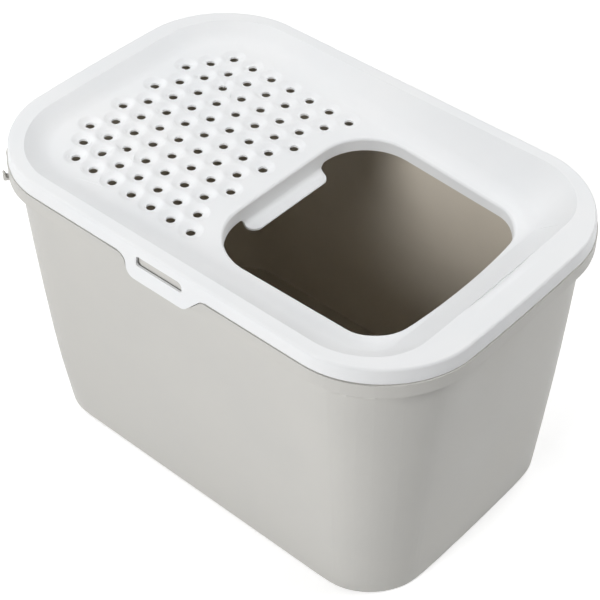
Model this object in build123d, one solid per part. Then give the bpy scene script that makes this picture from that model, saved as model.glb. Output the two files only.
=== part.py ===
from build123d import *

import os
from math import atan2, cos, degrees, radians, sin, tan

# Top entry litter box: a tapered tub and its dished, perforated lid with a rounded entry.
# X runs along the long side, towards the entry; Y runs across; Z is up, and zero is the floor.

# Lid: rim, skirt and flat band
RIM_Z = 360.0            # flat band above the floor
LID_LENGTH = 585.0
LID_WIDTH = 387.7
LID_CORNER = 108.9
LID_END_BOW = 5.75       # the short sides swell by this much in the middle
LID_WALL = 2.5
RIM_ROUNDING = 2.8
SKIRT_DROP = 17.2
SKIRT_DRAFT = 4.6        # degrees

# Lid: dish inside the flat band
BAND_END_WIDTH = 22.7
BAND_SIDE_WIDTH = 14.65
BAND_CORNER = 88.8
BAND_END_BOW = 2.0
DISH_SLOPE = 52.0        # degrees from upright
DISH_REACH = 42.0        # depth of the sloping sides before the floor cuts them
DISH_BLEND = 30.0        # radius between the sides and the floor
FLOOR_DROP = 23.1        # floor below the band, in the middle of the lid
FLOOR_TILT = 2.3         # degrees; the floor falls towards the entry end
LEDGE_WIDTH = 10.8       # shallow ledge between the dish and the band's bowed edge
LEDGE_CORNER = 62.0
LEDGE_DEPTH = 2.0

# Lid: perforations, seven to a row, in staggered rows
HOLE_PITCH = 28.2
HOLE_ROWS = 11
HOLES_PER_ROW = 7
HOLE_MARGIN = 14.3       # from the entry to the nearest perforation's centre
HOLE_RADIUS = 5.1
HOLE_SIDES = 12

# Lid: entry opening with its flange
ENTRY_START_X = -16.3
ENTRY_END_MARGIN = 39.3  # from the entry's bowed side to the dish's straight edge
ENTRY_START_MARGIN = 49.7    # from the entry's side to the band, at its start and at its end
ENTRY_STOP_MARGIN = 60.0
ENTRY_START_CORNER = 60.0
ENTRY_STOP_CORNER = 44.0
ENTRY_BOW = 12.8
ENTRY_ROUNDING = 3.0
FLANGE_DROP = 38.4       # lower edge of the flange below the band, in the middle of the lid
FLANGE_TILT = 1.6        # degrees

# Lid: gutter-shaped grip, which carries the flange on downwards
GRIP_LENGTH = 120.0
GRIP_TOP_DROP = 30.0
GRIP_DROP = 48.0
GRIP_REACH = 14.5        # from the entry's edge to the tip
GRIP_ROOT_RADIUS = 7.0
GRIP_EDGE_RADIUS = 1.2
GRIP_END_RADIUS = 13.0
GRIP_FLARE = 8.0         # radius between the grip's ends and the flange's lower edge
GRIP_FLARE_DROP = 37.4

# Lid: latch tabs in the middle of the long sides, upright at one end and slanted at the other
TAB_START_X = -48.0
TAB_LOW_X = 31.5         # where the slanted end leaves the lower edge
TAB_HIGH_X = 54.5        # where the slanted end meets the skirt
TAB_DROP = 40.5
TAB_CORNER = 11.5
SLOT_START_X = -33.3
SLOT_WIDTH = 62.0
SLOT_TOP_DROP = 10.5
SLOT_BOTTOM_DROP = 22.0
SLOT_CORNER = 3.0
SLOT_WIDE_CORNER = 6.0

# Tub: tapered box
TUB_WALL = 2.5
BASE_THICKNESS = 3.0
TUB_END_INSET = 7.4      # from the lid's outline, where the rim turns outwards
TUB_SIDE_INSET = 5.65
TUB_CORNER = 91.4
TUB_END_BOW = 5.2
TUB_DRAFT = 4.34         # degrees
FOOT_ROUNDING = 4.0

# Tub: turned-down rim and the lip inside the lid
JOINT_GAP = 0.5          # open line between skirt and rim
COLLAR_OUTSET = 2.3      # rim's outer face beyond the lid's band
COLLAR_DROP = 33.0       # lower edge of the turned-down rim below the band
LIP_INSET = 3.0          # lip's outer face inside the outline of the lid's band
LIP_GAP = 0.3

# Tub: pockets for the latch tabs, with a catch wedge in each
POCKET_GAP = 0.8
CATCH_WIDTH = 59.0
CATCH_TOP_DROP = 8.0
CATCH_BOTTOM_DROP = 21.0
CATCH_INSET = 1.35       # from the outline of the lid's band to the wedge's face

# Tub: ribs under the rim at the corners
RIB_THICKNESS = 2.5
RIB_BELOW = 2.0
RIB_ANGLES = (40.0, 65.0)
RIB_LENGTH = 11.0
RIM_SINK = 0.2           # how far ribs and hook reach into the rim's outer face

# Tub: hook on the rim
HOOK_ANGLE = 221.5
HOOK_WIDTH = 9.0
HOOK_HEIGHT = 14.5
HOOK_THICKNESS = 2.8
HOOK_GAP = 3.2
HOOK_FLOOR = 3.5

SPAN = 1000.0            # longer than the object, for cutting tools
TOOL_MARGIN = 1.5        # how far a cutting tool runs past the surface

BAND_LENGTH = LID_LENGTH - 2 * BAND_END_WIDTH
BAND_WIDTH = LID_WIDTH - 2 * BAND_SIDE_WIDTH
LEDGE_X = BAND_LENGTH / 2 - LEDGE_WIDTH
ENTRY_END_X = LEDGE_X - ENTRY_END_MARGIN
SKIRT_Z = RIM_Z - SKIRT_DROP
COLLAR_Z = RIM_Z - COLLAR_DROP
COLLAR_TOP_Z = SKIRT_Z - JOINT_GAP
TAB_Z = RIM_Z - TAB_DROP
LIP_TOP_Z = RIM_Z - LID_WALL - LIP_GAP
LIP_FACE_Y = LID_WIDTH / 2 - LIP_INSET
RIM_ROOT = LID_CORNER + COLLAR_OUTSET - RIM_SINK
CORNER_X = LID_LENGTH / 2 - LID_END_BOW - LID_CORNER
CORNER_Y = LID_WIDTH / 2 - LID_CORNER


def side(start, middle, end):
    """One side of an outline, straight where its middle is in line with its ends."""
    if middle[0] in (start[0], end[0]) or middle[1] in (start[1], end[1]):
        return Line(start, end)
    return ThreePointArc(start, middle, end)


def outline(length, width, corner, left_bow, right_bow, side_bow=0.0):
    """A face with four gently bowed sides and rounded corners, centred on its full size."""
    left, right = -length / 2, length / 2
    x0, x1, y = left + left_bow, right - right_bow, width / 2 - side_bow
    sides = Curve() + [
        side((x0, -y), (0, -width / 2), (x1, -y)),
        side((x1, -y), (right, 0), (x1, y)),
        side((x1, y), (0, width / 2), (x0, y)),
        side((x0, y), (left, 0), (x0, -y)),
    ]
    face = make_face(sides)
    return fillet(face.vertices(), corner)


def lid_outline(outset):
    length, width = LID_LENGTH + 2 * outset, LID_WIDTH + 2 * outset
    return outline(length, width, LID_CORNER + outset, LID_END_BOW, LID_END_BOW)


def band_outline(outset):
    length, width = BAND_LENGTH + 2 * outset, BAND_WIDTH + 2 * outset
    return outline(length, width, BAND_CORNER + outset, BAND_END_BOW, BAND_END_BOW)


def lid_block(bottom_z, top_z, inset):
    """The lid's drafted outside as a solid, moved in by the inset."""
    outset = (RIM_Z - bottom_z) * tan(radians(SKIRT_DRAFT)) - inset
    return extrude(Pos(0, 0, bottom_z) * lid_outline(outset), amount=top_z - bottom_z, taper=SKIRT_DRAFT)


def tilted_plane(drop, degrees_down):
    """A plane below the band that falls towards the entry end."""
    tilt = radians(degrees_down)
    x_dir = (cos(tilt), 0, -sin(tilt))
    return Plane(origin=(0, 0, RIM_Z - drop), x_dir=x_dir, z_dir=(sin(tilt), 0, cos(tilt)))


def floor_plane(depth):
    """The dish's floor plane, or one below it by the depth given."""
    return tilted_plane(FLOOR_DROP, FLOOR_TILT).offset(-depth)


def dish_mouth(outset):
    """The dish's outline in the band: the band's oval, cut straight at the entry end."""
    beyond = Pos(LEDGE_X + outset + SPAN / 2, 0) * Rectangle(SPAN, SPAN)
    face = band_outline(outset) - beyond
    return fillet(face.vertices().group_by(Axis.X)[-1], LEDGE_CORNER + outset)


def dish(depth):
    """The dish as a solid with a sharp floor edge; with a depth, the same moved out by that much."""
    outset = depth / cos(radians(DISH_SLOPE))
    down = Plane(origin=(0, 0, RIM_Z), x_dir=(1, 0, 0), z_dir=(0, 0, -1))
    solid = extrude(down * dish_mouth(outset), amount=DISH_REACH, taper=DISH_SLOPE)
    return split(solid, bisect_by=floor_plane(depth), keep=Keep.TOP)


def dish_hollow():
    """The hollow of the dish, its sides blended into the floor."""
    solid = dish(0)
    floor = solid.faces().sort_by(Axis.Z)[0]
    return fillet(floor.edges(), DISH_BLEND)


def ledge_cut():
    crescent = band_outline(0) - dish_mouth(0)
    return extrude(Pos(0, 0, RIM_Z - LEDGE_DEPTH) * crescent, amount=SPAN)


def ledge_backing(hollow):
    """Keeps the wall's thickness under the ledge."""
    inboard = Pos(LEDGE_X - LID_WALL - SPAN / 2, 0) * Rectangle(SPAN, SPAN)
    face = band_outline(LID_WALL) - inboard
    bottom_z = RIM_Z - LEDGE_DEPTH - LID_WALL
    return extrude(Pos(0, 0, bottom_z) * face, amount=LEDGE_DEPTH + LID_WALL / 2) - hollow


def perforation_places():
    """Places on the dish's floor, in its own plane, in staggered rows."""
    row_step = HOLE_PITCH * cos(radians(30))
    last_row = HOLE_ROWS // 2
    places = []
    for row in range(-last_row, last_row + 1):
        shift = 0.0 if abs(row) == last_row else (1 + row % 2) / 2
        for column in range(HOLES_PER_ROW):
            x = ENTRY_START_X - HOLE_MARGIN - HOLE_PITCH * (column + shift)
            places.append((x, row * row_step))
    return places


def perforate(lid):
    depth = LID_WALL + 2 * TOOL_MARGIN
    hole = extrude(RegularPolygon(HOLE_RADIUS, HOLE_SIDES), amount=-depth)
    hole = Pos(0, 0, TOOL_MARGIN) * hole
    return lid - floor_plane(0) * Locations(*perforation_places()) * hole


def entry_outline(outset):
    """The entry's outline, narrower towards its bowed side."""
    start_x, end_x = ENTRY_START_X - outset, ENTRY_END_X + outset
    start_y = BAND_WIDTH / 2 - ENTRY_START_MARGIN + outset
    stop_y = BAND_WIDTH / 2 - ENTRY_STOP_MARGIN + outset
    stop_x = end_x - ENTRY_BOW
    sides = Curve() + [
        Line((start_x, start_y), (start_x, -start_y)),
        Line((start_x, -start_y), (stop_x, -stop_y)),
        ThreePointArc((stop_x, -stop_y), (end_x, 0), (stop_x, stop_y)),
        Line((stop_x, stop_y), (start_x, start_y)),
    ]
    face = make_face(sides)
    face = fillet(face.vertices().group_by(Axis.X)[0], ENTRY_START_CORNER + outset)
    return fillet(face.vertices().group_by(Axis.X)[-1], ENTRY_STOP_CORNER + outset)


def entry_prism(outset, bottom):
    """The entry's form, from a plane up to the flat band."""
    solid = extrude(entry_outline(outset), amount=RIM_Z)
    return split(solid, bisect_by=bottom, keep=Keep.TOP)


def entry_edges(lid):
    """The upper edges of the entry, where it meets the dish."""
    prism = entry_prism(0, floor_plane(LID_WALL))
    walls = [face for face in prism.faces() if abs(face.normal_at().Z) < sin(radians(FLOOR_TILT) / 2)]
    return [edge for edge in lid.edges() if any(lies_on(edge, wall) for wall in walls)]


def lies_on(edge, face):
    """Whether an edge runs along a face from end to end."""
    return all(face.distance_to(edge.position_at(share)) < LID_WALL / 100 for share in (0.0, 0.5, 1.0))


def cut_entry(lid, hollow):
    """Adds the turned-down flange and cuts the entry, with a rounded upper edge."""
    flange = entry_prism(LID_WALL, tilted_plane(FLANGE_DROP, FLANGE_TILT)) - hollow
    lid = lid + flange - entry_prism(0, floor_plane(FLANGE_DROP))
    return fillet(entry_edges(lid), ENTRY_ROUNDING)


def grip():
    """The gutter that the fingers hold: a wall, a rounded root and a short lip."""
    top_z, low_z = RIM_Z - GRIP_TOP_DROP, RIM_Z - GRIP_DROP
    tip_x, back_x = ENTRY_START_X + GRIP_REACH, ENTRY_START_X - LID_WALL
    inner = [(ENTRY_START_X, top_z), (ENTRY_START_X, low_z), (tip_x, low_z)]
    outer = [(tip_x, low_z - LID_WALL), (back_x, low_z - LID_WALL), (back_x, top_z)]
    face = make_face(Polyline(*inner, *outer, close=True))
    low = face.vertices().sort_by_distance((ENTRY_START_X, low_z))
    face = fillet(low[0], GRIP_ROOT_RADIUS)
    low = face.vertices().sort_by_distance((back_x, low_z - LID_WALL))
    face = fillet(low[0], GRIP_ROOT_RADIUS + LID_WALL)
    face = fillet(face.vertices().group_by(Axis.X)[-1], GRIP_EDGE_RADIUS)
    gutter = extrude(Plane.XZ * face, amount=GRIP_LENGTH / 2 + GRIP_FLARE, both=True)
    plan = Pos(tip_x - SPAN / 2, 0) * Rectangle(SPAN, GRIP_LENGTH)
    plan = fillet(plan.vertices().group_by(Axis.X)[-1], GRIP_END_RADIUS)
    plan += Pos(ENTRY_START_X - SPAN / 2, 0) * Rectangle(SPAN, GRIP_LENGTH + 2 * GRIP_FLARE)
    front = extrude(Plane.YZ * grip_front(), amount=SPAN / 2, both=True)
    return gutter & extrude(plan, amount=RIM_Z) & front


def grip_front():
    """The grip's outline from the front, flared where it leaves the flange."""
    flare_z, top_z, low_z = RIM_Z - GRIP_FLARE_DROP, RIM_Z - GRIP_TOP_DROP, RIM_Z - 2 * GRIP_DROP
    near, far = GRIP_LENGTH / 2, GRIP_LENGTH / 2 + 2 * GRIP_FLARE
    upper = [(-near, flare_z), (-far, flare_z), (-far, top_z), (far, top_z), (far, flare_z)]
    lower = [(near, flare_z), (near, low_z), (-near, low_z)]
    face = make_face(Polyline(*upper, *lower, close=True))
    bends = [v for v in face.vertices().group_by(Axis.Y)[-2] if abs(v.X) < far]
    return fillet(bends, GRIP_FLARE)


def tab_face():
    """Upright outline of a latch tab, flared into the skirt."""
    top_z = SKIRT_Z + 2 * LID_WALL
    left, right = TAB_START_X - 2 * TAB_CORNER, TAB_HIGH_X + 2 * TAB_CORNER
    upper = [(right, SKIRT_Z), (right, top_z), (left, top_z), (left, SKIRT_Z)]
    bends = [(TAB_START_X, SKIRT_Z), (TAB_START_X, TAB_Z), (TAB_LOW_X, TAB_Z), (TAB_HIGH_X, SKIRT_Z)]
    face = make_face(Polyline(*upper, *bends, close=True))
    inside = [v for v in face.vertices() if left < v.X < right]
    return fillet(inside, TAB_CORNER)


def slot_face():
    height = SLOT_BOTTOM_DROP - SLOT_TOP_DROP
    place = Pos(SLOT_START_X + SLOT_WIDTH / 2, RIM_Z - SLOT_TOP_DROP - height / 2)
    face = place * Rectangle(SLOT_WIDTH, height)
    wide = face.vertices().sort_by(lambda v: v.X + v.Y)[-1]
    face = fillet(wide, SLOT_WIDE_CORNER)
    low = face.vertices().group_by(Axis.Y)[0]
    high_left = face.vertices().sort_by(lambda v: v.X - v.Y)[0]
    return fillet([*low, high_left], SLOT_CORNER)


def slot_cut():
    """Cuts the slot through the skirt on the near long side."""
    behind = Plane.XZ.offset(LID_WIDTH / 2 - 2 * LID_WALL)
    return extrude(behind * slot_face(), amount=4 * LID_WALL)


def latch_tabs():
    """The skirt carried on downwards and trimmed to the two tabs."""
    overlap_z = SKIRT_Z + LID_WALL
    shell = lid_block(TAB_Z, overlap_z, 0) - lid_block(TAB_Z, overlap_z, LID_WALL)
    return shell & extrude(Plane.XZ * tab_face(), amount=SPAN / 2, both=True)


def make_lid():
    hollow = dish_hollow()
    outside = lid_block(SKIRT_Z, RIM_Z, 0)
    outside = fillet(outside.edges().group_by(Axis.Z)[-1], RIM_ROUNDING)
    inside = lid_block(SKIRT_Z, RIM_Z - LID_WALL, LID_WALL)
    lid = outside - inside + dish(LID_WALL) - hollow
    lid = lid + ledge_backing(hollow) - ledge_cut()
    lid = cut_entry(lid, hollow)
    lid = lid + grip()
    lid = lid + latch_tabs()
    lid = lid - mirrored(slot_cut())
    return perforate(lid)


def tapered_box(bottom_z, top_z, inset):
    """The tub's drafted form between two heights, moved in by the inset."""
    outset = (top_z - COLLAR_TOP_Z) * tan(radians(TUB_DRAFT)) - inset
    length = LID_LENGTH - 2 * (TUB_END_INSET - outset)
    width = LID_WIDTH - 2 * (TUB_SIDE_INSET - outset)
    face = outline(length, width, TUB_CORNER + outset, TUB_END_BOW, TUB_END_BOW)
    return Pos(0, 0, top_z) * Rot(180, 0, 0) * extrude(face, amount=top_z - bottom_z, taper=TUB_DRAFT)


def rim_ring(outset, thickness, bottom_z, top_z):
    """An upright ring that follows the lid's outline."""
    face = lid_outline(outset) - lid_outline(outset - thickness)
    return extrude(Pos(0, 0, bottom_z) * face, amount=top_z - bottom_z)


def turned_rim():
    """The rim that turns outwards and down, and the lip that stands up inside the lid's skirt."""
    plate = extrude(Pos(0, 0, COLLAR_TOP_Z - TUB_WALL) * lid_outline(COLLAR_OUTSET), amount=TUB_WALL)
    collar = rim_ring(COLLAR_OUTSET, TUB_WALL, COLLAR_Z, COLLAR_TOP_Z)
    lip = rim_ring(-LIP_INSET, TUB_WALL, COLLAR_TOP_Z - TUB_WALL / 2, LIP_TOP_Z)
    return plate + collar + lip


def mirrored(solid):
    """The solid and its twin on the far long side."""
    return solid + mirror(solid, about=Plane.XZ)


def pocket_prism(gap, inner_y, outer_y):
    """The latch tab's upright outline, widened by the gap, between two distances from the middle."""
    face = offset(tab_face(), gap, kind=Kind.INTERSECTION)
    return extrude(Plane.XZ.offset(inner_y) * face, amount=outer_y - inner_y)


def pocket_cut():
    """Room in the turned-down rim for a latch tab."""
    return pocket_prism(POCKET_GAP, LIP_FACE_Y, LID_WIDTH)


def pocket_liner():
    """The pocket's back and cheeks, which close the rim round the tab."""
    liner = pocket_prism(POCKET_GAP + TUB_WALL, LIP_FACE_Y - 2 * TUB_WALL, LID_WIDTH / 2 + COLLAR_OUTSET)
    height = COLLAR_TOP_Z - COLLAR_Z
    return liner & Pos(0, 0, COLLAR_Z + height / 2) * Box(SPAN, SPAN, height)


def catch():
    """A wedge that grows downwards and ends in a flat catch face."""
    top_z, low_z = RIM_Z - CATCH_TOP_DROP, RIM_Z - CATCH_BOTTOM_DROP
    root_y = -LIP_FACE_Y + TUB_WALL / 2
    flat_z = low_z + TUB_WALL
    face_y = CATCH_INSET - LID_WIDTH / 2
    slope = [(root_y, top_z), (-LIP_FACE_Y, top_z), (face_y, flat_z)]
    profile = Polyline(*slope, (face_y, low_z), (root_y, low_z), close=True)
    return extrude(Plane.YZ * make_face(profile), amount=CATCH_WIDTH / 2, both=True)


def corner_ribs():
    """Two ribs under the rim at three of the corners; the hook takes the fourth."""
    bottom_z = COLLAR_Z - RIB_BELOW
    height = COLLAR_TOP_Z - TUB_WALL / 2 - bottom_z
    centre = RIM_ROOT - RIB_LENGTH / 2
    rib = Pos(centre, 0, bottom_z + height / 2) * Box(RIB_LENGTH, RIB_THICKNESS, height)
    ribs = Part()
    for sign_x, sign_y in ((1, -1), (1, 1), (-1, 1)):
        for angle in RIB_ANGLES:
            turn = degrees(atan2(sign_y * sin(radians(angle)), sign_x * cos(radians(angle))))
            ribs += Pos(sign_x * CORNER_X, sign_y * CORNER_Y) * Rot(0, 0, turn) * rib
    return ribs


def hook():
    """A small upturned hook that hangs the scoop, in its own upright profile."""
    low_z = (COLLAR_TOP_Z + COLLAR_Z - HOOK_HEIGHT) / 2
    tip = RIM_ROOT + HOOK_GAP + HOOK_THICKNESS
    block = Pos((RIM_ROOT + tip) / 2 - HOOK_THICKNESS / 2, 0, low_z + HOOK_HEIGHT / 2)
    body = block * Box(tip - RIM_ROOT + HOOK_THICKNESS, HOOK_WIDTH, HOOK_HEIGHT)
    gap_x = RIM_ROOT + HOOK_GAP / 2
    gap = Pos(gap_x, 0, low_z + HOOK_FLOOR + HOOK_HEIGHT / 2) * Box(HOOK_GAP, 2 * HOOK_WIDTH, HOOK_HEIGHT)
    place = Pos(-CORNER_X, -CORNER_Y) * Rot(0, 0, HOOK_ANGLE)
    return place * (body - gap)


def make_tub():
    box = tapered_box(0, COLLAR_TOP_Z, 0)
    box = fillet(box.edges().group_by(Axis.Z)[0], FOOT_ROUNDING)
    hollow = tapered_box(BASE_THICKNESS, RIM_Z, TUB_WALL)
    rim = turned_rim() + mirrored(pocket_liner()) - mirrored(pocket_cut()) + mirrored(catch())
    return box + rim + corner_ribs() - hollow + hook()


def make_all():
    return {"tub": make_tub(), "lid": make_lid()}


if __name__ == "__main__":
    os.makedirs("parts", exist_ok=True)
    for name, solid in make_all().items():
        export_step(solid, "parts/" + name + ".step")
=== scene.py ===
from math import atan2, cos, degrees, pi, radians, sin, tan

import bmesh
import bpy
from mathutils import Matrix, Vector


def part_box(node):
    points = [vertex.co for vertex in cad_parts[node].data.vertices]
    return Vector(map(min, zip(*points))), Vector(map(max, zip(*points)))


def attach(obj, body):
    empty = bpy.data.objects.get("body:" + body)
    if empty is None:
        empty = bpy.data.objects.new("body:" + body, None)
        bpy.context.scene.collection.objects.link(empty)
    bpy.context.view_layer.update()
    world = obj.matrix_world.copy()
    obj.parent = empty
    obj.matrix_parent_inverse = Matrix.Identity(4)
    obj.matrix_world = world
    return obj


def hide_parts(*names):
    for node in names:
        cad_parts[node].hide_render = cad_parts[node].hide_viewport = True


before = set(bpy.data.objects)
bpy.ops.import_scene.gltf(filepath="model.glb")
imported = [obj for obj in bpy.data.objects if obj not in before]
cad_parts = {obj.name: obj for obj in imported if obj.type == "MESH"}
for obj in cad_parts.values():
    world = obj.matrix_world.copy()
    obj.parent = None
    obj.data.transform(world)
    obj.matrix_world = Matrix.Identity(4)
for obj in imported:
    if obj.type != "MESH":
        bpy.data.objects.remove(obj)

MM = 0.001
LEVEL = 0.05                # millimetres within which two heights or radii count as one
JOIN = 0.005                # millimetres within which two corners of the CAD's mesh are one

# Camera, worked out from the lid's outline, the tub's outline and the 77 holes
CAMERA_AZIMUTH = 41.49      # degrees from -Y towards +X
CAMERA_ELEVATION = 42.51
CAMERA_DISTANCE = 1.94016   # metres
CAMERA_SIDE = 0.00525
CAMERA_UP = 0.13129
SENSOR = 36.0
LENS = 99.856

# Soft studio light: name, azimuth from -Y towards +X, elevation, share of the key lamp
AIM = (0.0, 0.0, 0.25)
LIGHT_DISTANCE = 2.4
LIGHT_SIZE = 1.2
KEY_WATTS = 38.0
LIGHTS = (
    ("key_front", 0, 30, 1.0),
    ("fill_left", -90, 40, 0.6),
    ("back", 180, 35, 0.3),
    ("back_right", 130, 40, 0.7),
)
WHITE = (1.0, 1.0, 1.0, 1.0)
FLOOR_SIZE = 12.0
FLOOR_COLOUR = (0.85, 0.85, 0.85, 1.0)
FLOOR_ROUGHNESS = 0.9
FLOOR_GLOW = 0.42           # what the camera sees of it besides its lit grey

# Plastics: relief in metres, and how much the slow waves count against the grain
LID_LOOK = {"dark": (0.845, 0.858, 0.870), "light": (0.872, 0.878, 0.884), "smooth": 0.40,
            "rough": 0.52, "grain_per_metre": 1100.0, "wave_share": 3.0, "relief": 0.00005}
TUB_LOOK = {"dark": (0.588, 0.580, 0.553), "light": (0.612, 0.602, 0.572), "smooth": 0.42,
            "rough": 0.55, "grain_per_metre": 900.0, "wave_share": 3.0, "relief": 0.00006}
# Painted shade: the tub's own plastic, tinted warmer and browner inside to stand for the shade and
# warm bounce light within the tub
INSIDE_SHADE_LOOK = {"dark": (0.610, 0.560, 0.480), "light": (0.650, 0.600, 0.520), "smooth": 0.50,
               "rough": 0.62, "grain_per_metre": 900.0, "wave_share": 3.0, "relief": 0.00006}
GRAIN_DETAIL = 2.0
WAVES_PER_METRE = 22.0
WAVE_DETAIL = 0.0
MOTTLE_PER_METRE = 9.0
MOTTLE_DETAIL = 3.0
MOTTLE_LOW = 0.35           # of the noise, where the mottle is 0
MOTTLE_HIGH = 0.65          # and where it is 1
PLASTIC_IOR = 1.49
PLASTIC_SHEEN = 0.25        # half the plain specular: satin, fine-grained
SHARP = 35.0                # degrees between faces that keep a crisp edge

# Lid, in millimetres
RIM_Z = 360.0
LID_WALL = 2.5
FLOOR_DROP = 23.1           # dish floor below the band at x = 0
FLOOR_TILT = 2.3            # degrees down towards the entry
FLOOR_PARALLEL = 1e-4       # how nearly parallel to the floor a face is that belongs to it
HOLE_PITCH = 28.2
HOLE_ROWS = 11
HOLES_PER_ROW = 7
FIRST_HOLE = -30.6          # the centre nearest to the entry, along the floor from x = 0
HOLE_RADIUS = 5.1
HOLE_MARGIN = 1.0           # round a hole, within which the CAD's hole walls lie
HOLE_WALL = 3.0             # thickness at each hole, where its dimple is thinned
DIMPLE_RADIUS = 13.9
DIMPLE_DEPTH = 3.2
DIMPLE_EASE = 1.6           # above 1, the dimple leaves the floor softly
DIMPLE_SIDES = 32
DIMPLE_RINGS = 8
LID_CORNER = 108.9
LID_INSET = 2.0             # how far its corners lie inside plain arcs
LEDGE_DEPTH = 2.0
LEDGE_LEFT = 0.02           # of its depth where it is gone, so that no faces coincide
LEDGE_FROM_X = 240.0
LEDGE_FULL_Y = 10.0         # it keeps its depth up to here, and is gone further out
LEDGE_GONE_Y = 66.0
LEDGE_STEP = 6.0
UNDERSIDE = -0.5            # faces that point down more than this are undersides
SKIRT_Z = 342.8
SKIRT_LIFT = 0.7            # opens the joint line

# Tub, in millimetres
COLLAR_Z = 327.0            # the collar's lower edge, where the wall comes out
COLLAR_FROM_Z = 322.5       # the dipped collar lies wholly above this
COLLAR_INSET = 1.5
COLLAR_OUTSET = 2.3         # how far the collar stands out past the lid
COLLAR_DIP = 4.0            # its lower edge round the corners of the perforated end
WALL_LEVELS = 24
CORNER_REACH = 120.0        # how far along each side a corner's rounding reaches
CORNER_STEP = 7.5           # degrees between the cuts that let it bend
# How far the tub's corners lie inside plain arcs: everywhere, more at the top, more at the foot
PERFORATED_END = (4.0, 3.5, 6.0)
ENTRY_END = (2.8, 6.6, 1.0)
UPPER_Z = 120.0
FOOT_HEIGHT = 110.0
INWARD = -0.02              # metres; below this an inner wall's normal points back over its place
BASE_UP = 0.9
BASE_Z = 5.0

# Scoop hook on the collar, in millimetres
HOOK_ANGLE = 235.0          # round the corner's centre
HOOK_LOW_Z = 322.0
HOOK_HEIGHT = 8.5
HOOK_WIDTH = 9.0
HOOK_THICKNESS = 2.8
HOOK_REACH = 5.5
HOOK_ROUNDING = 0.8
CAD_HOOK_Z = (326.0, 342.2)
CAD_HOOK_ANGLES = (212.0, 231.0)


def link(data, name):
    item = bpy.data.objects.new(name, data)
    bpy.context.scene.collection.objects.link(item)
    return item


def towards(azimuth, elevation):
    """The direction from the object towards a place seen at this azimuth and elevation."""
    a, e = radians(azimuth), radians(elevation)
    return Vector((sin(a) * cos(e), -cos(a) * cos(e), sin(e)))


def set_camera():
    back = towards(CAMERA_AZIMUTH, CAMERA_ELEVATION)
    right = Vector((cos(radians(CAMERA_AZIMUTH)), sin(radians(CAMERA_AZIMUTH)), 0.0))
    up = back.cross(right)
    data = bpy.data.cameras.new("camera")
    data.sensor_width = SENSOR
    data.lens = LENS
    camera = link(data, "camera")
    place = Matrix((right, up, back)).transposed().to_4x4()
    place.translation = back * CAMERA_DISTANCE + right * CAMERA_SIDE + up * CAMERA_UP
    camera.matrix_world = place
    bpy.context.scene.camera = camera


def set_lights():
    for name, azimuth, elevation, share in LIGHTS:
        data = bpy.data.lights.new(name, "AREA")
        data.shape = "DISK"
        data.size = LIGHT_SIZE
        data.energy = KEY_WATTS * share
        lamp = link(data, name)
        away = towards(azimuth, elevation)
        lamp.location = Vector(AIM) + away * LIGHT_DISTANCE
        lamp.rotation_euler = away.to_track_quat("Z", "Y").to_euler()


def feed(tree, value, socket):
    """Sets a socket to a plain number, or links another socket to it."""
    if isinstance(value, float):
        socket.default_value = value
    else:
        tree.links.new(value, socket)


def arithmetic(tree, operation, first, second):
    node = tree.nodes.new("ShaderNodeMath")
    node.operation = operation
    feed(tree, first, node.inputs[0])
    feed(tree, second, node.inputs[1])
    return node.outputs[0]


def noise(tree, place, scale, detail):
    node = tree.nodes.new("ShaderNodeTexNoise")
    node.inputs["Detail"].default_value = detail
    tree.links.new(place, node.inputs["Vector"])
    feed(tree, scale, node.inputs["Scale"])
    return node.outputs[0]


def seen_directly(tree):
    """One for the camera's own rays, and for those that mirror or pass through; else nought."""
    path = tree.nodes.new("ShaderNodeLightPath").outputs
    seen = arithmetic(tree, "MAXIMUM", path["Is Camera Ray"], path["Is Glossy Ray"])
    return arithmetic(tree, "MAXIMUM", seen, path["Is Transmission Ray"])


def set_world():
    """White where it is seen past the floor, by eye or mirrored, and no other light."""
    world = bpy.data.worlds.new("studio")
    bpy.context.scene.world = world
    world.use_nodes = True
    tree = world.node_tree
    shader = tree.nodes["Background"]
    shader.inputs["Color"].default_value = WHITE
    tree.links.new(seen_directly(tree), shader.inputs["Strength"])
    bpy.context.scene.view_settings.view_transform = "Standard"


def make_floor():
    mesh = bpy.data.meshes.new("floor")
    h = FLOOR_SIZE / 2
    mesh.from_pydata([(-h, -h, 0), (h, -h, 0), (h, h, 0), (-h, h, 0)], [], [(0, 1, 2, 3)])
    floor = link(mesh, "floor")
    material = bpy.data.materials.new("floor_white")
    material.use_nodes = True
    tree = material.node_tree
    shader = tree.nodes["Principled BSDF"]
    shader.inputs["Base Color"].default_value = FLOOR_COLOUR
    shader.inputs["Roughness"].default_value = FLOOR_ROUGHNESS
    shader.inputs["Emission Color"].default_value = WHITE
    glow = arithmetic(tree, "MULTIPLY", seen_directly(tree), FLOOR_GLOW)
    tree.links.new(glow, shader.inputs["Emission Strength"])
    mesh.materials.append(material)


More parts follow.
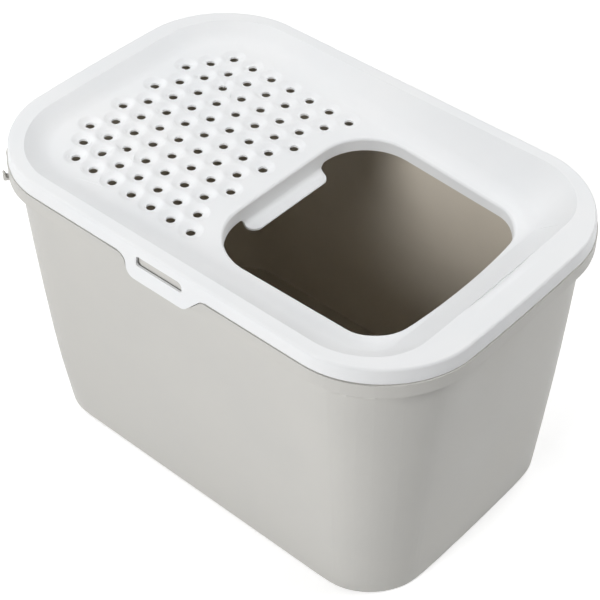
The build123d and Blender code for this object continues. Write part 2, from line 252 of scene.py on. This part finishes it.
def moulded_surface():
    """Fine grain over slow waves as a height, and a slow mottle from 0 to 1."""
    tree = bpy.data.node_groups.new("moulded_surface", "ShaderNodeTree")
    for name in ("Grain per metre", "Waves per metre", "Wave share"):
        tree.interface.new_socket(name, in_out="INPUT", socket_type="NodeSocketFloat")
    for name in ("Height", "Mottle"):
        tree.interface.new_socket(name, in_out="OUTPUT", socket_type="NodeSocketFloat")
    given = tree.nodes.new("NodeGroupInput").outputs
    result = tree.nodes.new("NodeGroupOutput").inputs
    place = tree.nodes.new("ShaderNodeTexCoord").outputs["Object"]
    grain = noise(tree, place, given["Grain per metre"], GRAIN_DETAIL)
    waves = noise(tree, place, given["Waves per metre"], WAVE_DETAIL)
    waves = arithmetic(tree, "MULTIPLY", waves, given["Wave share"])
    tree.links.new(arithmetic(tree, "ADD", grain, waves), result["Height"])
    mottle = tree.nodes.new("ShaderNodeMapRange")
    mottle.inputs["From Min"].default_value = MOTTLE_LOW
    mottle.inputs["From Max"].default_value = MOTTLE_HIGH
    tree.links.new(noise(tree, place, MOTTLE_PER_METRE, MOTTLE_DETAIL), mottle.inputs["Value"])
    tree.links.new(mottle.outputs["Result"], result["Mottle"])
    return tree


def moulded_plastic(name, surface, look):
    """Satin injection-moulded plastic: colour and gloss vary a little, over a fine grain."""
    material = bpy.data.materials.new(name)
    material.use_nodes = True
    tree = material.node_tree
    shader = tree.nodes["Principled BSDF"]
    shader.inputs["IOR"].default_value = PLASTIC_IOR
    shader.inputs["Specular IOR Level"].default_value = PLASTIC_SHEEN
    group = tree.nodes.new("ShaderNodeGroup")
    group.node_tree = surface
    group.inputs["Grain per metre"].default_value = look["grain_per_metre"]
    group.inputs["Waves per metre"].default_value = WAVES_PER_METRE
    group.inputs["Wave share"].default_value = look["wave_share"]
    colour = tree.nodes.new("ShaderNodeMix")
    colour.data_type = "RGBA"
    colour.inputs["A"].default_value = (*look["dark"], 1.0)
    colour.inputs["B"].default_value = (*look["light"], 1.0)
    tree.links.new(group.outputs["Mottle"], colour.inputs["Factor"])
    tree.links.new(colour.outputs["Result"], shader.inputs["Base Color"])
    gloss = tree.nodes.new("ShaderNodeMapRange")
    gloss.inputs["To Min"].default_value = look["smooth"]
    gloss.inputs["To Max"].default_value = look["rough"]
    tree.links.new(group.outputs["Mottle"], gloss.inputs["Value"])
    tree.links.new(gloss.outputs["Result"], shader.inputs["Roughness"])
    bump = tree.nodes.new("ShaderNodeBump")
    bump.inputs["Distance"].default_value = look["relief"]
    tree.links.new(group.outputs["Height"], bump.inputs["Height"])
    tree.links.new(bump.outputs["Normal"], shader.inputs["Normal"])
    return material


def high_corner(node):
    """The CAD node's highest x, y and z, in millimetres."""
    return Vector(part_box(node)[1]) / MM


def from_node(name):
    """The CAD node's faces as a new bmesh in millimetres, joined along their edges."""
    bm = bmesh.new()
    bm.from_mesh(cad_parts[name].data)
    bmesh.ops.scale(bm, vec=(1 / MM,) * 3, verts=bm.verts)
    bmesh.ops.remove_doubles(bm, verts=bm.verts, dist=JOIN)
    return bm


def to_piece(bm, name, node, material):
    """The bmesh as a smooth-shaded piece that stands for the CAD node."""
    bmesh.ops.recalc_face_normals(bm, faces=bm.faces)
    bmesh.ops.scale(bm, vec=(MM,) * 3, verts=bm.verts)
    for face in bm.faces:
        face.smooth = True
    for edge in bm.edges:
        edge.smooth = len(edge.link_faces) == 2 and edge.calc_face_angle(0.0) < radians(SHARP)
    mesh = bpy.data.meshes.new(name)
    bm.to_mesh(mesh)
    bm.free()
    mesh.materials.append(material)
    piece = link(mesh, name)
    normals = piece.modifiers.new("normals", "WEIGHTED_NORMAL")
    normals.keep_sharp = True
    normals.weight = 100
    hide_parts(node)
    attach(piece, node)
    return piece


def cut(bm, place, across, faces=None):
    """Cuts the whole mesh, or only these faces, along a plane."""
    if faces is None:
        parts = bm.verts[:] + bm.edges[:] + bm.faces[:]
    else:
        edges = {edge for face in faces for edge in face.edges}
        verts = {vert for face in faces for vert in face.verts}
        parts = list(edges | verts | set(faces))
    bmesh.ops.bisect_plane(bm, geom=parts, plane_co=place, plane_no=across)


def bridge(bm, upper, lower):
    """Joins two closed rings with one four-sided face for each of their edges."""
    n = len(upper)
    for k in range(n):
        bm.faces.new((upper[k], upper[(k + 1) % n], lower[(k + 1) % n], lower[k]))


def corner_direction(point, high):
    """Which way is out at that corner, and how much of its inset counts there, 0 to 1."""
    x = abs(point.x) - (high.x - CORNER_REACH)
    y = abs(point.y) - (high.y - CORNER_REACH)
    if min(x, y) <= 0.0:
        return Vector(), 0.0
    away = Vector((x if point.x > 0 else -x, y if point.y > 0 else -y, 0.0)).normalized()
    return away, (2 * away.x * away.y) ** 2


def cut_corners(bm, high):
    """Cuts the faces round each corner like slices of a cake, so that they can bend."""
    x, y = high.x - CORNER_REACH, high.y - CORNER_REACH
    for side in (1, -1):
        cut(bm, (x * side, 0, 0), (1, 0, 0))
    for side in (1, -1):
        cut(bm, (0, y * side, 0), (0, 1, 0))
    for sx, sy in ((1, 1), (1, -1), (-1, 1), (-1, -1)):
        for k in range(1, int(90 / CORNER_STEP)):
            faces = []
            for face in bm.faces:
                middle = face.calc_center_median()
                if middle.x * sx > x and middle.y * sy > y:
                    faces.append(face)
            a = radians(k * CORNER_STEP)
            cut(bm, (x * sx, y * sy, 0), (-sin(a) * sx, cos(a) * sy, 0), faces)


def round_corners(bm, high, depth_at):
    """Draws the four corners in, by a depth that may change with the height and the end."""
    for vert in bm.verts:
        away, share = corner_direction(vert.co, high)
        if share:
            vert.co -= away * share * depth_at(vert.co)


def lid_depth(point):
    return LID_INSET


def tub_depth(point):
    if point.z > COLLAR_FROM_Z:
        return COLLAR_INSET
    everywhere, upper, foot = ENTRY_END if point.x > 0 else PERFORATED_END
    up = max(point.z - UPPER_Z, 0.0) / (COLLAR_Z - UPPER_Z)
    down = max(1 - point.z / FOOT_HEIGHT, 0.0)
    return everywhere + upper * up ** 2 + foot * down ** 2


def floor_z(x, below=0.0):
    """Height of the dish floor's tilted plane, or of a plane that much below it."""
    return RIM_Z - FLOOR_DROP - tan(radians(FLOOR_TILT)) * x - below


def hole_centres():
    """Staggered rows of one length; the two outer rows stand nearest to the entry."""
    centres = []
    last_row = HOLE_ROWS // 2
    for row in range(-last_row, last_row + 1):
        shift = 0.0 if abs(row) == last_row else (1 + row % 2) / 2
        for column in range(HOLES_PER_ROW):
            along = FIRST_HOLE - HOLE_PITCH * (column + shift)
            centres.append((along * cos(radians(FLOOR_TILT)), row * HOLE_PITCH * cos(radians(30))))
    return centres


def dimple_profile(wall):
    """Radius and depth of each ring, from the floor's level down to the hole's edge."""
    rings = []
    for k in range(DIMPLE_RINGS + 1):
        t = k / DIMPLE_RINGS
        radius = DIMPLE_RADIUS + (HOLE_RADIUS - DIMPLE_RADIUS) * t
        thinned = max(wall - HOLE_WALL, 0.0) * t
        rings.append((radius, DIMPLE_DEPTH * sin(t * pi / 2) ** DIMPLE_EASE - thinned))
    return rings


def ring(bm, centre, radius, depth, below):
    x, y = centre
    verts = []
    for k in range(DIMPLE_SIDES):
        a = 2 * pi * k / DIMPLE_SIDES
        px, py = x + radius * cos(a), y + radius * sin(a)
        verts.append(bm.verts.new((px, py, floor_z(px, below + depth))))
    return verts


def strip_floor(bm):
    """Takes away the plain floor, above and below, with the walls of its holes."""
    centres = hole_centres()
    wall = LID_WALL / cos(radians(FLOOR_TILT))
    slope = Vector((sin(radians(FLOOR_TILT)), 0, cos(radians(FLOOR_TILT))))
    reach = (HOLE_RADIUS + HOLE_MARGIN) ** 2
    gone = []
    for face in bm.faces:
        offsets = [floor_z(v.co.x) - v.co.z for v in face.verts]
        parallel = abs(abs(face.normal.dot(slope)) - 1) < FLOOR_PARALLEL
        above = max(abs(o) for o in offsets) < LEVEL
        below = max(abs(o - wall) for o in offsets) < LEVEL
        if parallel and (above or below):
            gone.append(face)
        elif -2 * LEVEL < min(offsets) and max(offsets) < wall + 2 * LEVEL:
            middle = face.calc_center_median()
            if any((middle.x - x) ** 2 + (middle.y - y) ** 2 < reach for x, y in centres):
                gone.append(face)
    bmesh.ops.delete(bm, geom=gone, context="FACES")
    return wall


def lay_floor(bm, below):
    """Fills the floor's plane again round the dimples, and sinks each dimple into it."""
    border = [e for e in bm.edges if e.is_boundary
              and all(abs(v.co.z - floor_z(v.co.x, below)) < LEVEL for v in e.verts)]
    rims, mouths = [], []
    for centre in hole_centres():
        rings = [ring(bm, centre, radius, depth, below) for radius, depth in dimple_profile(below)]
        rims += [bm.edges.new((rings[0][k - 1], rings[0][k])) for k in range(DIMPLE_SIDES)]
        for upper, lower in zip(rings, rings[1:]):
            bridge(bm, upper, lower)
        mouths.append(rings[-1])
    bmesh.ops.triangle_fill(bm, edges=border + rims, use_beauty=True, normal=(0, 0, 1))
    return mouths


def fade_ledge(bm):
    """Brings the ledge up to the band's level towards both of its ends."""
    steps = int(LEDGE_GONE_Y / LEDGE_STEP) + 2
    for k in range(-steps, steps + 1):
        faces = [f for f in bm.faces
                 if f.calc_center_median().x > LEDGE_FROM_X and f.normal.z > UNDERSIDE]
        cut(bm, (0, k * LEDGE_STEP, 0), (0, 1, 0), faces)
    for vert in bm.verts:
        if vert.co.x > LEDGE_FROM_X and abs(RIM_Z - LEDGE_DEPTH - vert.co.z) < LEVEL:
            t = (abs(vert.co.y) - LEDGE_FULL_Y) / (LEDGE_GONE_Y - LEDGE_FULL_Y)
            t = min(max(t, 0.0), 1.0)
            vert.co.z += (LEDGE_DEPTH - LEDGE_LEFT) * t * t * (3 - 2 * t)


def lift_skirt(bm):
    for vert in bm.verts:
        if abs(vert.co.z - SKIRT_Z) < LEVEL:
            vert.co.z += SKIRT_LIFT


def make_lid(material):
    bm = from_node("lid")
    fade_ledge(bm)
    wall = strip_floor(bm)
    above = lay_floor(bm, 0.0)
    below = lay_floor(bm, wall)
    for upper, lower in zip(above, below):
        bridge(bm, upper, lower)
    lift_skirt(bm)
    round_corners(bm, high_corner("lid"), lid_depth)
    to_piece(bm, "lid_shell", "lid", material)


def lower_collar(bm, high):
    """Lets the collar's lower edge dip round the two corners of the perforated end."""
    for vert in bm.verts:
        if vert.co.x < 0 and abs(vert.co.z - COLLAR_Z) < LEVEL:
            vert.co.z -= corner_direction(vert.co, high)[1] * COLLAR_DIP


def hook_corner(high):
    """The centre of the collar's arc at the perforated end's front corner."""
    inset = COLLAR_OUTSET + LID_CORNER
    return Vector((inset - high.x, inset - high.y, 0.0))


def hide_cad_hook(bm, centre, collar_radius):
    """Draws the CAD's hook back into the collar's face."""
    for vert in bm.verts:
        arm = Vector((vert.co.x - centre.x, vert.co.y - centre.y, 0.0))
        angle = degrees(atan2(arm.y, arm.x)) % 360
        beside = CAD_HOOK_ANGLES[0] < angle < CAD_HOOK_ANGLES[1]
        level = CAD_HOOK_Z[0] < vert.co.z < CAD_HOOK_Z[1]
        if beside and level and arm.length > collar_radius + LEVEL:
            arm.normalize()
            vert.co.x, vert.co.y = (centre + arm * collar_radius).xy


def make_hook(centre, collar_radius, material):
    """A small upright tongue on a foot, open at the top."""
    back, tip = collar_radius - HOOK_THICKNESS, collar_radius + HOOK_REACH
    inner = tip - HOOK_THICKNESS
    profile = ((back, 0), (tip, 0), (tip, HOOK_HEIGHT), (inner, HOOK_HEIGHT),
               (inner, HOOK_THICKNESS), (back, HOOK_THICKNESS))
    bm = bmesh.new()
    near = [bm.verts.new((r, -HOOK_WIDTH / 2, HOOK_LOW_Z + z)) for r, z in profile]
    far = [bm.verts.new((r, HOOK_WIDTH / 2, HOOK_LOW_Z + z)) for r, z in profile]
    bm.faces.new(near)
    bm.faces.new(far[::-1])
    bridge(bm, near, far)
    bmesh.ops.bevel(bm, geom=bm.edges[:], offset=HOOK_ROUNDING, segments=2, affect="EDGES")
    bmesh.ops.rotate(bm, verts=bm.verts, matrix=Matrix.Rotation(radians(HOOK_ANGLE), 3, "Z"))
    bmesh.ops.translate(bm, verts=bm.verts, vec=centre)
    to_piece(bm, "scoop_hook", "tub", material)


def paint_inside_shade(shell, inner_shade_material):
    """Gives the tub's inner walls and the top of its base painted shade: the same plastic, tinted
    warmer and browner.
    """
    shell.data.materials.append(inner_shade_material)
    for face in shell.data.polygons:
        inward = face.normal.x * face.center.x + face.normal.y * face.center.y < INWARD
        base = face.normal.z > BASE_UP and face.center.z < BASE_Z * MM
        if (inward or base) and face.center.z < COLLAR_Z * MM:
            face.material_index = 1


def make_tub(material, inner_shade_material):
    bm = from_node("tub")
    for level in range(1, WALL_LEVELS):
        cut(bm, (0, 0, COLLAR_Z * level / WALL_LEVELS), (0, 0, 1))
    high = high_corner("tub")
    centre = hook_corner(high)
    collar_radius = LID_CORNER + COLLAR_OUTSET
    hide_cad_hook(bm, centre, collar_radius)
    cut_corners(bm, high)
    lower_collar(bm, high)
    round_corners(bm, high, tub_depth)
    paint_inside_shade(to_piece(bm, "tub_shell", "tub", material), inner_shade_material)
    make_hook(centre, collar_radius - COLLAR_INSET, material)


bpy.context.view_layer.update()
make_floor()
set_world()
set_lights()
set_camera()
surface = moulded_surface()
make_lid(moulded_plastic("lid_plastic_white", surface, LID_LOOK))
# The tub's inside gets a painted-shade copy of its plastic, tinted warmer and browner
make_tub(moulded_plastic("tub_plastic_grey", surface, TUB_LOOK),
         moulded_plastic("tub_plastic_inside_painted_shade", surface, INSIDE_SHADE_LOOK))
